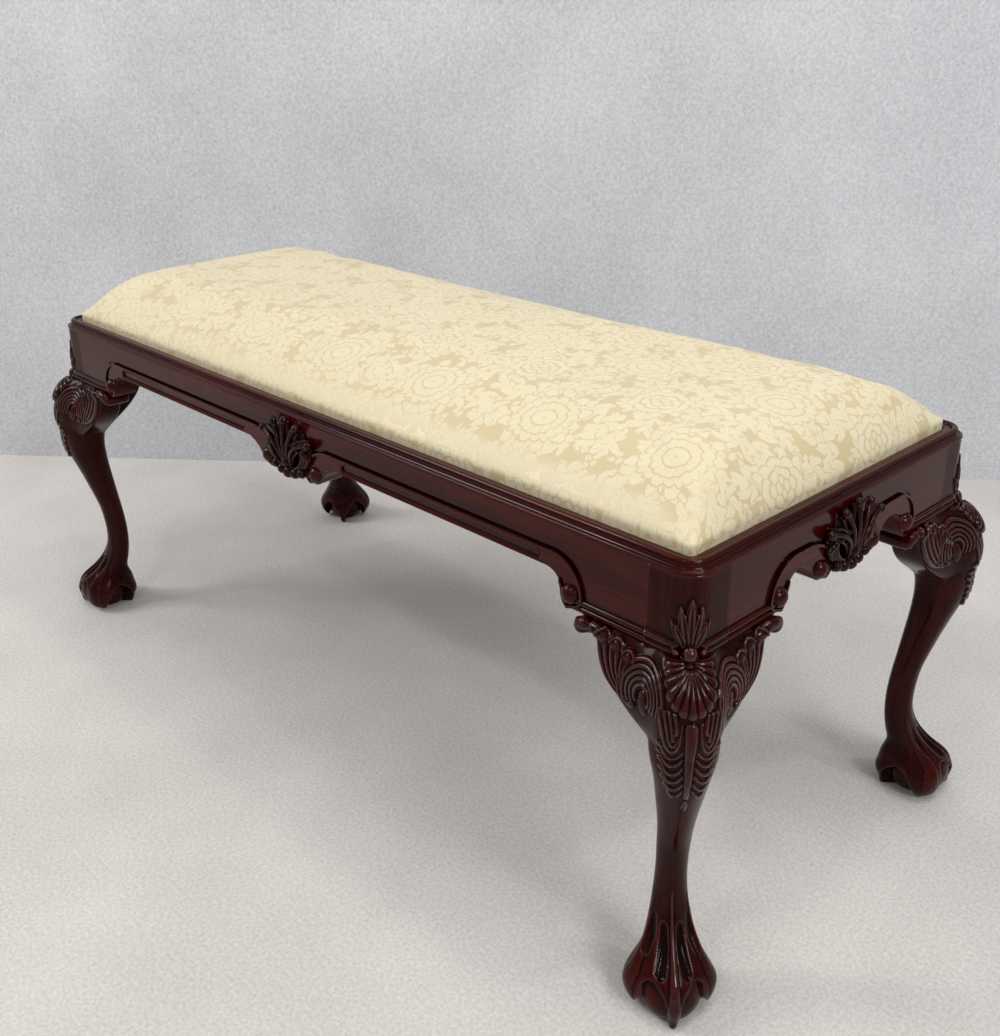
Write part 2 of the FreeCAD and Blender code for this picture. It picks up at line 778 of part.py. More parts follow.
def corner_block():
    """A triangular block across the inside of a corner, notched round the post."""
    inner, size, nose = -rail_thickness - block_clearance, block_size, block_nose
    z1 = rail_top - block_drop
    z0 = z1 - block_height
    points = [V(inner, inner, z0), V(inner - size, inner, z0), V(inner - size, inner - nose, z0),
              V(inner - nose, inner - size, z0), V(inner, inner - size, z0), V(inner, inner, z0)]
    block = Part.Face(Part.makePolygon(points)).extrude(V(0, 0, block_height))
    notch = post_width + 2 * block_clearance
    return block.cut(box(-notch, 1, -notch, 1, z0 - 1, z1 + 1))


def block_screws(extra=0.0):
    """Two countersunk screws through each block, square to the two rails."""
    z = rail_top - block_drop - block_height / 2
    start = -rail_thickness - block_clearance - block_nose - screw_sunk
    x = -rail_thickness - block_size + screw_from_end
    radius = screw_radius + extra
    shank = Part.makeCylinder(radius, screw_length, V(x, start, z), V(0, 1, 0))
    head = Part.makeCone(screw_head_radius + extra, radius, screw_head_height, V(x, start, z), V(0, 1, 0))
    screw = shank.fuse(head)
    return [screw, screw.mirror(V(0, 0, 0), V(1, -1, 0))]


# Build every piece and place it

corners = {"back_right": (0, 1, 1), "back_left": (90, -1, 1),
           "front_left": (180, -1, -1), "front_right": (270, 1, -1)}
sides = {"front": (0, half_length, long_roundel_reach), "right": (90, half_depth, end_roundel_reach),
         "back": (180, half_length, long_roundel_reach), "left": (270, half_depth, end_roundel_reach)}


def at_corner(shape, corner):
    degrees, sx, sy = corners[corner]
    placed = turned(shape, degrees)
    placed.translate(V(sx * half_length, sy * half_depth, 0))
    return placed


one_leg = leg()
one_bracket = knee_bracket()
other_bracket = one_bracket.mirror(V(0, 0, 0), V(1, -1, 0))
one_block = corner_block()
screws = []
screw_holes = []
for corner in corners:
    degrees = corners[corner][0]
    long_one, end_one = (one_bracket, other_bracket) if degrees % 180 == 0 else (other_bracket, one_bracket)
    save("leg_" + corner, at_corner(one_leg, corner))
    save("knee_bracket_long_" + corner, at_corner(long_one, corner))
    save("knee_bracket_end_" + corner, at_corner(end_one, corner))
    screws += [at_corner(s, corner) for s in block_screws()]
    screw_holes += [at_corner(s, corner) for s in block_screws(hole_clearance)]

holes = Part.makeCompound(screw_holes)
for corner in corners:
    save("corner_block_" + corner, at_corner(one_block, corner).cut(holes))
save("corner_block_screws", Part.makeCompound(screws))

for side, (degrees, half, roundel_reach) in sides.items():
    save("rail_" + side, turned(rail(half, roundel_reach), degrees).cut(holes))
    shell = shell_ornament(half)
    for room in scroll_room(half, roundel_reach):
        shell = shell.cut(room)
    save("shell_" + side, turned(shell, degrees))
    save("moulding_" + side, turned(moulding_strip(half), degrees))

places = tack_places()
hole_radius = tack_shank_radius + hole_clearance
tack_holes = Part.makeCompound([tack_shank(x, y, hole_radius) for x, y in places])
save("tacks", Part.makeCompound([tack(x, y) for x, y in places]))
for name, piece in seat_frame().items():
    save("seat_frame_" + name, piece.cut(tack_holes))

long_reach = seat_half_x - wrap - web_margin
cross_reach = seat_half_y - wrap - web_margin
web_low = frame_top + layer_gap
save("webbing_long", webbing_strips(long_webs, cross_reach - web_width / 2, long_reach, True, web_low))
web_low += web_thickness + layer_gap
save("webbing_cross", webbing_strips(cross_webs, long_reach - web_width / 2, cross_reach, False, web_low))
hessian_low = web_low + web_thickness + layer_gap
save("hessian", seat_prism(-wrap - web_margin, hessian_low, hessian_low + sheet_thickness))
save("seat_pad", seat_dome(0))
save("seat_cover", seat_cover().cut(tack_holes))
dust_inset = wrap + tack_inset - 2 * tack_head_radius
save("dust_cover", seat_prism(-dust_inset, dust_low, dust_low + sheet_thickness).cut(tack_holes))
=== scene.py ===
"""Looks of the window seat: carved mahogany frame, damask drop-in seat, stage, light and camera."""
import bmesh
import bpy
import math

import numpy as np
from mathutils import Matrix, Vector


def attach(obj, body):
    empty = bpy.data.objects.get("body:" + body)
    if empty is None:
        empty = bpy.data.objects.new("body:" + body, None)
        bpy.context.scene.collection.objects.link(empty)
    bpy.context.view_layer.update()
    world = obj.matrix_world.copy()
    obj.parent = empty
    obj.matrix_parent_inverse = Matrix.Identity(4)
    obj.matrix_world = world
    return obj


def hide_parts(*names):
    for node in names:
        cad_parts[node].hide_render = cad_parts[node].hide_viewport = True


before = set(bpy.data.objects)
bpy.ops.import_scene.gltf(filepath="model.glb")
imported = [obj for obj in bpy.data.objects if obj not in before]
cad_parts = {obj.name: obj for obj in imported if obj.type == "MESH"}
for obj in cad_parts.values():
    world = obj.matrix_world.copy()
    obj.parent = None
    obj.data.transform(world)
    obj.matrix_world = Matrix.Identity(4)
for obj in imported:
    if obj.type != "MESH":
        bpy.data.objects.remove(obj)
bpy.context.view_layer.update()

MM = 0.001
ROOT2 = math.sqrt(2.0)

# Places shared with the solids, in metres
HALF_LENGTH = 0.530
HALF_DEPTH = 0.222
RAIL_TOP = 0.420
KNEE = 0.349
MOULDING_WIDTH = 0.018
SEAT_GAP = 0.0017
CROWN = 0.4875
SEAT_EDGE = 0.437
SEAT_HEM = 0.4215
SHELL_DROP = 0.057

CORNERS = {"back_right": (0, 1, 1), "back_left": (90, -1, 1),
           "front_left": (180, -1, -1), "front_right": (270, 1, -1)}
SIDES = {"front": 0, "right": 90, "back": 180, "left": 270}

# Mesh fineness, in metres
LEG_VOXEL = 0.0009
SHELL_VOXEL = 0.0007
CUSHION_STEP = 0.0065

# Simulation of the cover
SWELL_FRAMES = 20
SWELL_PRESSURE = 4.0
SWELL_CAP = 0.0045
SWELL_FADE = 0.026
STUFFING_SHARE = 0.96
LUMP = 0.0008

# Damask: one cell of the pattern, the thin lines between petals and the thread pitches
CELL_WIDTH, CELL_HEIGHT = 0.150, 0.150
PETAL_GAP = 0.0010
WARP_PITCH, WEFT_PITCH = 0.0009, 0.0007

# Camera of the photograph
CAMERA_AT = Vector((0.98469, -0.86058, 0.824145))
CAMERA_YAW = -0.8063
CAMERA_PITCH = -0.4260
CAMERA_ROLL = -0.0112
CAMERA_LENS = 40.33

# Where the backdrop meets the floor
BACKDROP_LINE = ((-1.246, -0.088, 0), (0.205, 1.157, 0))


# Mesh helpers

def link(name, mesh, material=None):
    obj = bpy.data.objects.new(name, mesh)
    bpy.context.scene.collection.objects.link(obj)
    if material:
        mesh.materials.clear()
        mesh.materials.append(material)
    return obj


def vertex_array(mesh, what="co"):
    flat = np.empty(3 * len(mesh.vertices))
    mesh.vertices.foreach_get(what, flat)
    return flat.reshape(-1, 3)


def edge_array(mesh):
    flat = np.empty(2 * len(mesh.edges), dtype=np.int64)
    mesh.edges.foreach_get("vertices", flat)
    return flat.reshape(-1, 2)


def set_points(mesh, points):
    mesh.vertices.foreach_set("co", points.ravel())
    mesh.update()


def neighbour_mean(values, edges):
    """Mean of each vertex's neighbours, for one number or a vector per vertex."""
    here = np.concatenate([edges[:, 0], edges[:, 1]])
    there = np.concatenate([edges[:, 1], edges[:, 0]])
    count = np.maximum(np.bincount(here, minlength=len(values)), 1)
    columns = values.reshape(len(values), -1).T
    sums = [np.bincount(here, weights=column[there], minlength=len(values)) for column in columns]
    return (np.stack(sums, 1) / count[:, None]).reshape(values.shape)


def smoothed(points, edges, weight, passes):
    """Points drawn toward their neighbours, each by its own weight."""
    for _ in range(passes):
        points = points + (0.5 * weight)[:, None] * (neighbour_mean(points, edges) - points)
    return points


def joined_nodes(names, shift, add=None):
    """One mesh of several CAD nodes, with their seams welded, moved by shift; add puts more into it."""
    bm = bmesh.new()
    for name in names:
        bm.from_mesh(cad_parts[name].data)
    bmesh.ops.remove_doubles(bm, verts=bm.verts, dist=2e-6)
    bmesh.ops.translate(bm, verts=bm.verts, vec=shift)
    if add:
        add(bm)
    mesh = bpy.data.meshes.new("joined")
    bm.to_mesh(mesh)
    bm.free()
    return mesh


def remeshed(mesh, voxel, smoothing):
    """The mesh as an even skin of voxel-sized faces, lightly smoothed."""
    work = link("work", mesh)
    remesh = work.modifiers.new("remesh", "REMESH")
    remesh.mode = "VOXEL"
    remesh.voxel_size = voxel
    remesh.use_smooth_shade = True
    smooth = work.modifiers.new("smooth", "SMOOTH")
    smooth.factor = 0.5
    smooth.iterations = smoothing
    graph = bpy.context.evaluated_depsgraph_get()
    result = bpy.data.meshes.new_from_object(work.evaluated_get(graph))
    bpy.data.objects.remove(work)
    return result


def store_cavity(mesh, passes, sunk=0.0):
    """Keeps how far each point lies below its neighbours in mm: positive in a groove, negative on a
    ridge. sunk is added on top, so the shader paints those places darker, as painted shade.
    """
    points, edges = vertex_array(mesh), edge_array(mesh)
    normals = vertex_array(mesh, "normal")
    level = smoothed(points, edges, np.ones(len(points)), passes)
    cavity = np.einsum("ij,ij->i", level - points, normals) / MM + sunk
    layer = mesh.attributes.new("cavity", "FLOAT", "POINT")
    layer.data.foreach_set("value", cavity.astype(np.float32))


def tube(bm, path, radii, sides=12):
    """A round tapered strand with closed ends, along three-dimensional points."""
    path = [Vector(p) for p in path]
    rings = []
    for i, point in enumerate(path):
        ahead = (path[min(i + 1, len(path) - 1)] - path[max(i - 1, 0)]).normalized()
        across = ahead.cross(Vector((0, 1, 0))).normalized()
        up = across.cross(ahead)
        ring = []
        for k in range(sides):
            a = 2 * math.pi * k / sides
            ring.append(bm.verts.new(point + (across * math.cos(a) + up * math.sin(a)) * radii[i]))
        rings.append(ring)
    for a, b in zip(rings, rings[1:]):
        for k in range(sides):
            bm.faces.new((a[k], a[(k + 1) % sides], b[(k + 1) % sides], b[k]))
    bm.faces.new(list(reversed(rings[0])))
    bm.faces.new(rings[-1])


def ball(bm, centre, radius):
    bmesh.ops.create_icosphere(bm, subdivisions=3, radius=radius, matrix=Matrix.Translation(centre))


# Carving: heights drawn in two flat coordinates and raised along the surface

def bezier(a, b, c, count=14):
    t = np.linspace(0, 1, count)[:, None]
    return (1 - t) ** 2 * np.array(a) + 2 * t * (1 - t) * np.array(b) + t ** 2 * np.array(c)


def rolled(centre, radius, first, last, grow, count=36):
    """An arc round a centre, angles in degrees from the corner side, its radius growing along it."""
    angle = np.radians(np.linspace(first, last, count))
    reach = radius * np.linspace(1, grow, count)
    return np.stack([centre[0] - reach * np.cos(angle), centre[1] + reach * np.sin(angle)], 1)


def ridge(points, path, radius, height):
    """Height of a rounded ridge along a path; radius and height are (start, middle, end) values."""
    share = np.linspace(0, 1, len(path))
    radii = np.interp(share, (0, 0.5, 1), radius)
    heights = np.interp(share, (0, 0.5, 1), height)
    best = np.zeros(len(points))
    reach = max(radius)
    near = np.all((points > path.min(0) - reach) & (points < path.max(0) + reach), 1)
    local = points[near]
    found = np.zeros(len(local))
    for i in range(len(path) - 1):
        a, span = path[i], path[i + 1] - path[i]
        t = np.clip((local - a) @ span / max(span @ span, 1e-12), 0, 1)
        away = np.linalg.norm(local - a - t[:, None] * span, axis=1)
        r = radii[i] + (radii[i + 1] - radii[i]) * t
        h = heights[i] + (heights[i + 1] - heights[i]) * t
        found = np.maximum(found, h * np.sqrt(np.clip(1 - (away / r) ** 2, 0, 1)))
    best[near] = found
    return best


def fan_height(across):
    """Height of the shell on the knee: rounded ribs from under the rail to a scalloped rim."""
    down = -1.0 - across[:, 1]
    angle = np.degrees(np.arctan2(np.abs(across[:, 0]), down))
    reach = np.hypot(across[:, 0], down)
    rib = np.abs(np.cos(np.pi * angle / 14.0))
    rim = np.interp(angle, (0, 23, 44, 72, 95), (33.5, 31.0, 25.5, 18.5, 15.5)) + 1.8 * rib
    inside = np.clip(1 - (reach / rim) ** 8, 0, 1)
    body = (1.0 + 2.4 * np.sqrt(rib)) * np.sqrt(inside) * np.clip(reach / 6, 0.3, 1)
    return np.where(angle < 98, body, 0)


def husk_strokes():
    """Two columns of nested husks, with the smooth dart between them and a teardrop below."""
    strokes = [(bezier((0, -43), (0, -76), (0, -113)), (5.4, 4.0, 2.0), (3.2, 3.6, 2.0)),
               (bezier((0, -119), (0, -125), (0, -131)), (1.6, 2.8, 1.6), (1.2, 1.8, 0.8))]
    for side in (-1, 1):
        for k in range(4):
            outer, inner, low = 23.5 - 3.6 * k, 7.6 + 1.5 * k, -66 + 5.5 * k
            path = bezier((side * outer, -33), (side * (outer - 4), low), (side * 13.6, low + 1))
            strokes.append((path, (1.8, 2.0, 2.0), (1.8, 2.8, 2.8)))
            path = bezier((side * inner, -40), (side * (inner + 1), low), (side * 13.6, low + 1))
            strokes.append((path, (1.2, 1.6, 2.0), (1.0, 2.0, 2.8)))
        for k in range(6):
            low = -72 - 7.8 * k
            outer, inner = 21 - 0.26 * k * k, 5.9 - 0.45 * k
            middle = 0.6 * outer + 0.4 * inner
            path = bezier((side * outer, low + 9), (side * middle, low - 9), (side * inner, low + 7))
            strokes.append((path, (1.5, 3.0, 1.3), (2.0, 3.6, 1.4)))
            ends = side * (outer - 3.5), side * (inner + 1.5)
            path = bezier((ends[0], low + 9), (side * middle, low - 2), (ends[1], low + 9))
            strokes.append((path, (0.8, 1.3, 0.8), (1.2, 2.2, 1.0)))
            curl = np.array([(side * (outer + 0.2), low + 9.5), (side * (outer + 1.0), low + 10)])
            strokes.append((curl, (2.5, 2.5, 2.5), (2.8, 2.8, 2.8)))
    return strokes


def palmette_strokes():
    """Five grooved leaves on the corner of the post, and two small ones at their foot."""
    strokes = []
    for i, (across, top) in enumerate(((0, 50.5), (7.6, 43), (12.6, 29.5))):
        for side in ((-1, 1) if i else (1,)):
            for shift in (-1, 1):
                foot = (side * 2.2 * i + 0.8 * shift, 9)
                bend = (side * (across * 0.55) + 3.2 * shift, 9 + 0.55 * (top - 9))
                path = bezier(foot, bend, (side * across, top))
                strokes.append((path, (0.9, 1.7, 0.8), (0.8, 2.0, 0.9)))
    for side in (-1, 1):
        path = bezier((side * 4, 0), (side * 10, 1), (side * 13, 8))
        strokes.append((path, (1.6, 2.6, 1.2), (1.6, 2.6, 1.0)))
    return strokes


def cabochon_strokes():
    """The oval bead between the palmette and the shell."""
    return [(np.array([(0, 2.4), (0, 6.6)]), (4.3, 4.4, 4.3), (4.4, 4.8, 4.4))]


def bracket_strokes():
    """Volute and leaf on the side of the knee: along the rail from the corner, down from the rail."""
    eye = (31.5, -36.5)
    strokes = [(bezier(eye, (30.5, -42), (29, -47)), (5.2, 6.4, 5.0), (2.0, 2.4, 1.6)),
               (np.array([(43, -49.5), (43.5, -49.5)]), (3.2, 3.2, 3.2), (3.6, 3.6, 3.6))]
    for k, radius in enumerate((9.0, 13.2, 17.4, 21.8, 26.4)):
        path = rolled(eye, radius, -38 + 9 * k, 218 - 4 * k, 1.12)
        strokes.append((path, (1.5, 2.3, 1.9), (1.6, 3.2 - 0.15 * k, 2.4)))
    folds = (((47, -53), (83, -46), (87.5, -8)), ((47, -51), (76, -43), (80.5, -8)),
             ((48, -48), (70, -38), (72.5, -11)), ((50, -44), (65, -34), (65.5, -12)),
             ((52, -40), (61, -31), (58.5, -16)), ((54, -35), (57, -28), (52.5, -17)))
    for start, bend, tip in folds:
        strokes.append((bezier(start, bend, tip, 20), (1.3, 2.8, 2.6), (1.0, 3.0, 2.4)))
    for across, drop, size in ((83.0, -7.5, 7.0), (68.0, -10.5, 6.8), (54.0, -15.0, 6.2)):
        path = np.array([(across, drop), (across, drop - 4)])
        strokes.append((path, (size, size, size), (3.2, 3.2, 2.0)))
        path = rolled((across, drop), size, -10, 170, 1.0, 20)
        strokes.append((path, (1.2, 1.6, 1.2), (2.8, 4.4, 2.8)))
    return strokes


def foot_strokes():
    """Ridges of the talons: arc length round the foot and height."""
    strokes = [(np.array([(0, 108.0), (0, 60.0), (0, 6.0)]), (1.6, 2.2, 4.4), (0.5, 2.4, 1.6))]
    for side in (-1, 1):
        strokes.append((np.array([(side * 34.0, 96.0), (side * 34.0, 50.0), (side * 34.0, 12.0)]),
                        (3.0, 6.0, 7.0), (0.4, 1.6, 0.8)))
    return strokes


def foot_hollows():
    """Long hollows either side of the front ridge and behind each side talon's ridge."""
    hollows = []
    for side in (-1, 1):
        path = bezier((side * 11.0, 75), (side * 10.5, 63), (side * 10.6, 49))
        hollows.append((path, (5.4, 5.8, 5.0), (2.4, 3.6, 2.4)))
        path = bezier((side * 27, 80), (side * 28, 68), (side * 29, 57))
        hollows.append((path, (4.4, 6.4, 4.6), (1.0, 2.2, 1.0)))
    return hollows


def curl_tips(bm):
    """The rolled tip of the leaf at the end of each bracket."""
    line = ((80, 3.0, -8.0), (88, 4.8, -4.8), (96, 5.8, -2.6), (104, 6.0, -2.6), (110.5, 5.8, -5.0),
            (112.5, 5.6, -9.0), (110.5, 5.4, -12.0), (107.0, 5.2, -12.6))
    radii = (4.4, 5.6, 6.2, 6.2, 5.9, 5.0, 4.2, 3.4)
    for swap in (False, True):
        path = []
        for along, out, drop in line:
            x, y = (out, -along) if swap else (-along, out)
            path.append(Vector((x, y, KNEE / MM + drop)) * MM)
        tube(bm, path, [r * MM for r in radii])


def carve_leg():
    """The leg and its two brackets in one carved skin; its corner is at the origin, facing +X and +Y."""
    names = ["leg_back_right", "knee_bracket_long_back_right", "knee_bracket_end_back_right"]
    mesh = joined_nodes(names, (-HALF_LENGTH, -HALF_DEPTH, 0), curl_tips)
    mesh = remeshed(mesh, LEG_VOXEL, 1)
    points, edges = vertex_array(mesh) / MM, edge_array(mesh)
    x, y, z = points.T
    drop = z - KNEE / MM
    knee = np.clip((-0.5 - drop) / 3, 0, 1) * np.clip((drop + 135) / 20, 0, 1)
    outer = np.clip((np.maximum(x, y) + 6) / 4, 0, 1)
    foot = 0.5 * np.clip((70 - z) / 20, 0, 1)
    across = (y - x) / ROOT2
    claw = np.interp(z, (5, 14, 30, 42, 54), (-1.4, -0.6, 2.2, 1.6, 0)) * np.sign(across)
    claw = claw * np.clip((9 - np.abs(across)) / 4, 0, 1) * np.clip(((x + y) / ROOT2 - 12) / 6, 0, 1)
    points = points + claw[:, None] * np.array([-1, 1, 0]) / ROOT2
    set_points(mesh, smoothed(points, edges, np.maximum(knee * outer, foot), 45) * MM)

    points, normals = vertex_array(mesh) / MM, vertex_array(mesh, "normal")
    x, y, z = points.T
    u, v = (x + y) / ROOT2, (y - x) / ROOT2
    drop = z - KNEE / MM
    lift = np.zeros(len(points))
    facing = (normals[:, 0] + normals[:, 1]) / ROOT2

    def carve(chart, strokes, where):
        for path, radius, height in strokes:
            lift[:] = np.maximum(lift, ridge(chart, path, radius, height) * where)

    front = np.clip((facing - 0.1) / 0.3, 0, 1)
    across = np.stack([v, drop], 1)
    in_fan = front * (drop < -1.5)
    shell = fan_height(across)
    lift = np.maximum(lift, shell * in_fan)
    carve(across, husk_strokes(), in_fan * (shell == 0))
    carve(across, palmette_strokes(), front * (drop > 0.5) * (u > -22))
    carve(across, cabochon_strokes(), front * (u > -22))
    fan = np.hypot(v / 20, (drop + 12) / 24) < 1
    for along, out, toward in ((-x, y, normals[:, 1]), (-y, x, normals[:, 0])):
        side = np.clip((toward - 0.05) / 0.25, 0, 1) * (drop < -0.5) * (out > -8) * (along > 1) * ~fan
        carve(np.stack([along, drop], 1), bracket_strokes(), side)

    centre = np.interp(z, (0, 40, 57, 83, 112), (-3, -3, -12, -25, -30))
    angle = np.arctan2(v, u - centre)
    chart = np.stack([angle * 25.0, z], 1)
    outward = (u - centre) * facing + v * (normals[:, 1] - normals[:, 0]) / ROOT2
    low = (z < 112) * (outward > 0)
    carve(chart, foot_strokes(), low)
    sunk = np.zeros(len(points))
    for path, radius, depth in foot_hollows():
        sunk = np.maximum(sunk, ridge(chart, path, radius, depth) * low)
    lift = lift - sunk

    points = points + normals * lift[:, None]
    points[:, 2] = np.maximum(points[:, 2], 0)
    set_points(mesh, points * MM)
    # the foot hollows' depth is added to the cavity, so the wood is painted darker in them: painted
    # shade
    store_cavity(mesh, 10, 0.03 * sunk)
    return mesh


# Carved shell at the middle of each rail

def carve_shell():
    """Five curved fronds with rolled tips over a row of beads; it faces -Y, its base at the origin."""
    bm = bmesh.new()
    bm.from_mesh(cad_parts["shell_front"].data)
    bmesh.ops.translate(bm, verts=bm.verts, vec=(0, HALF_DEPTH, SHELL_DROP - RAIL_TOP))
    bmesh.ops.scale(bm, verts=bm.verts, vec=(1.0, 0.45, 1.0))

    def strand(path, radii):
        tube(bm, [Vector(p) * MM for p in path], [r * MM for r in radii])

    for i in range(-2, 3):
        fan = i / 2
        line = bezier((3.4 * i, 1.5), (6 * fan, 31), (41 * fan, 55 - 18 * fan * fan), 14)
        lean = Vector((math.cos(fan * 0.9), 0, -math.sin(fan * 0.9)))
        for lane in (-1, 0, 1):
            path, radii = [], []
            for k, (px, pz) in enumerate(line):
                t = k / 13
                spread = lane * (1.5 + 5.6 * math.sin(math.pi * (0.15 + 0.70 * t)) * t)
                bow = (3.5 + 6.5 * math.sin(math.pi * (0.08 + 0.8 * t))) * (0.66 if lane else 1.0)
                path.append((px + lean.x * spread, -bow, pz + lean.z * spread))
                radii.append((1.5 + 1.1 * t) * (0.8 if lane else 1.1))
            strand(path, radii)
        ball(bm, Vector((41 * fan, -6.5, 55 - 18 * fan * fan)) * MM, 4.7 * MM)
        ball(bm, Vector((23 * fan, -7.0, 33 - 7 * fan * fan)) * MM, 2.8 * MM)
    for side in (-1, 1):
        leaf = bezier((side * 6, 1), (side * 30, 4), (side * 37, 20), 12)
        for lane in (0, 1, 2):
            path = [(px - side * 3.4 * lane * k / 11, -4 - 0.8 * lane, pz + 2.6 * lane * k / 11)
                    for k, (px, pz) in enumerate(leaf)]
            strand(path, [1.8 + 1.2 * k / 11 for k in range(12)])
            ball(bm, Vector(path[-1]) * MM, 3.8 * MM)
    for i in range(-2, 3):
        ball(bm, Vector((11.5 * i, -5.0, -3.0 + 1.0 * i * i)) * MM, (6.8 - 0.8 * abs(i)) * MM)
    ball(bm, Vector((0, -6, 9)) * MM, 6.4 * MM)
    mesh = bpy.data.meshes.new("shell")
    bm.to_mesh(mesh)
    bm.free()
    mesh = remeshed(mesh, SHELL_VOXEL, 1)
    points = vertex_array(mesh)
    points[:, 1] = np.minimum(points[:, 1], 0.0006)
    set_points(mesh, points)
    store_cavity(mesh, 8)
    return mesh


# Drop-in seat

def seat_height(inset_x, inset_y):
    """Height of the padded top at a distance in from the long and the short edges."""
    def rise(inset, reach, power):
        return 1 - (1 - np.clip(inset / reach, 0, 1)) ** power
    edge = rise(inset_x, 0.044, 3) * rise(inset_y, 0.044, 3)
    crown = rise(inset_x, 0.060, 4.0) * rise(inset_y, 0.135, 4.1)
    arch = rise(inset_x, 0.5, 2) * rise(inset_y, 0.2, 2)
    return SEAT_EDGE + 0.0055 * edge + 0.043 * crown + (CROWN - 0.4855) * arch


def cushion_points(hx, hy, nx, ny):
    """A grid over the padded top, a little uneven as stuffing is, and slack enough to swell."""
    gx, gy = np.meshgrid(np.linspace(-hx, hx, nx), np.linspace(-hy, hy, ny))
    gz = seat_height(hx - np.abs(gx), hy - np.abs(gy))
    full = np.clip((gz - SEAT_EDGE) / (CROWN - SEAT_EDGE), 0, 1)
    lumps = (np.sin(9.1 * gx + 0.7) * np.sin(13.0 * gy + 1.1) + 0.6 * np.sin(21.0 * gx + 8.0 * gy)
             + 0.4 * np.sin(31.0 * gy - 12.0 * gx + 0.4))
    gz = SEAT_EDGE + (gz - SEAT_EDGE) * STUFFING_SHARE + LUMP * lumps * full
    return np.stack([gx, gy, gz], 2)


def swollen(points):
    """The cover after a short cloth simulation: pressed out from within and held round its edge."""
    ny, nx = points.shape[:2]
    index = np.arange(ny * nx).reshape(ny, nx)
    faces = np.stack([index[:-1, :-1], index[:-1, 1:], index[1:, 1:], index[1:, :-1]], 2).reshape(-1, 4)
    mesh = bpy.data.meshes.new("cover")
    mesh.from_pydata(points.reshape(-1, 3).tolist(), [], faces.tolist())
    cover = link("cover", mesh)
    rim = set(index[[0, -1], :].ravel()) | set(index[:, [0, -1]].ravel())
    cover.vertex_groups.new(name="held").add([int(i) for i in sorted(rim)], 1.0, "REPLACE")
    cloth = cover.modifiers.new("cloth", "CLOTH")
    cloth.collision_settings.use_collision = False
    cloth.settings.vertex_group_mass = "held"
    cloth.settings.use_pressure = True
    cloth.settings.uniform_pressure_force = SWELL_PRESSURE
    cloth.settings.effector_weights.gravity = 0
    cloth.settings.tension_stiffness = 40
    cloth.settings.compression_stiffness = 40
    cloth.settings.bending_stiffness = 5
    for step in range(1, SWELL_FRAMES + 1):
        bpy.context.scene.frame_set(step)
    graph = bpy.context.evaluated_depsgraph_get()
    moved = vertex_array(cover.evaluated_get(graph).data).reshape(points.shape) - points
    bpy.data.objects.remove(cover)
    bpy.context.scene.frame_set(1)
    inset = np.min(np.abs(points[0, 0, :2]) - np.abs(points[:, :, :2]), axis=2)
    cap = SWELL_CAP * np.clip(inset / SWELL_FADE, 0.1, 1)
    far = np.linalg.norm(moved, axis=2)
    return points + moved * np.minimum(1, cap / np.maximum(far, 1e-9))[:, :, None]


def cloth_lengths(points):
    """Distance along the cloth from the middle line, across and along, for each point of a grid."""
    result = np.zeros(points.shape[:2] + (3,))
    for axis, k in ((1, 0), (0, 1)):
        steps = np.linalg.norm(np.diff(points, axis=axis), axis=2)
        lengths = np.cumsum(steps, axis=axis)
        middle = points.shape[axis] // 2
        lengths = np.insert(lengths, 0, 0, axis=axis)
        result[:, :, k] = lengths - np.take(lengths, [middle], axis=axis)
    return result


def build_seat(material):
    """The covered seat: padded top, and sides down the seat frame to the hem."""
    hx = HALF_LENGTH - MOULDING_WIDTH - SEAT_GAP
    hy = HALF_DEPTH - MOULDING_WIDTH - SEAT_GAP
    nx, ny = 2 * int(hx / CUSHION_STEP) + 1, 2 * int(hy / CUSHION_STEP) + 1
    points = swollen(cushion_points(hx, hy, nx, ny))
    bm = bmesh.new()
    flat = bm.verts.layers.float_vector.new("cloth")
    lengths = cloth_lengths(points)
    grid = [[bm.verts.new(points[j, i]) for i in range(nx)] for j in range(ny)]
    for j in range(ny):
        for i in range(nx):
            grid[j][i][flat] = lengths[j, i]
    for j in range(ny - 1):
        for i in range(nx - 1):
            bm.faces.new((grid[j][i], grid[j][i + 1], grid[j + 1][i + 1], grid[j + 1][i]))
    border = [e for e in bm.edges if e.is_boundary]
    step = (SEAT_EDGE - SEAT_HEM) / 4
    for level in np.linspace(SEAT_EDGE, SEAT_HEM, 5)[1:]:
        made = bmesh.ops.extrude_edge_only(bm, edges=border)["geom"]
        for vert in (g for g in made if isinstance(g, bmesh.types.BMVert)):
            vert.co.z = level
            reach = Vector((vert.co.x / hx, vert.co.y / hy))
            if abs(reach.x) > 0.9999:
                vert[flat] = vert[flat] + Vector((math.copysign(step, reach.x), 0, 0))
            if abs(reach.y) > 0.9999:
                vert[flat] = vert[flat] + Vector((0, math.copysign(step, reach.y), 0))
        border = [g for g in made if isinstance(g, bmesh.types.BMEdge) and g.is_boundary]
    mesh = bpy.data.meshes.new("seat_cushion")
    bm.to_mesh(mesh)
    bm.free()
    for polygon in mesh.polygons:
        polygon.use_smooth = True
    seat = link("seat_cushion", mesh, material)
    finer = seat.modifiers.new("finer", "SUBSURF")
    finer.levels = 1
    graph = bpy.context.evaluated_depsgraph_get()
    seat.data = bpy.data.meshes.new_from_object(seat.evaluated_get(graph))
    seat.modifiers.clear()
    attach(seat, "drop_in_seat")
    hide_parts("seat_cover", "seat_pad")
    return seat


# Materials

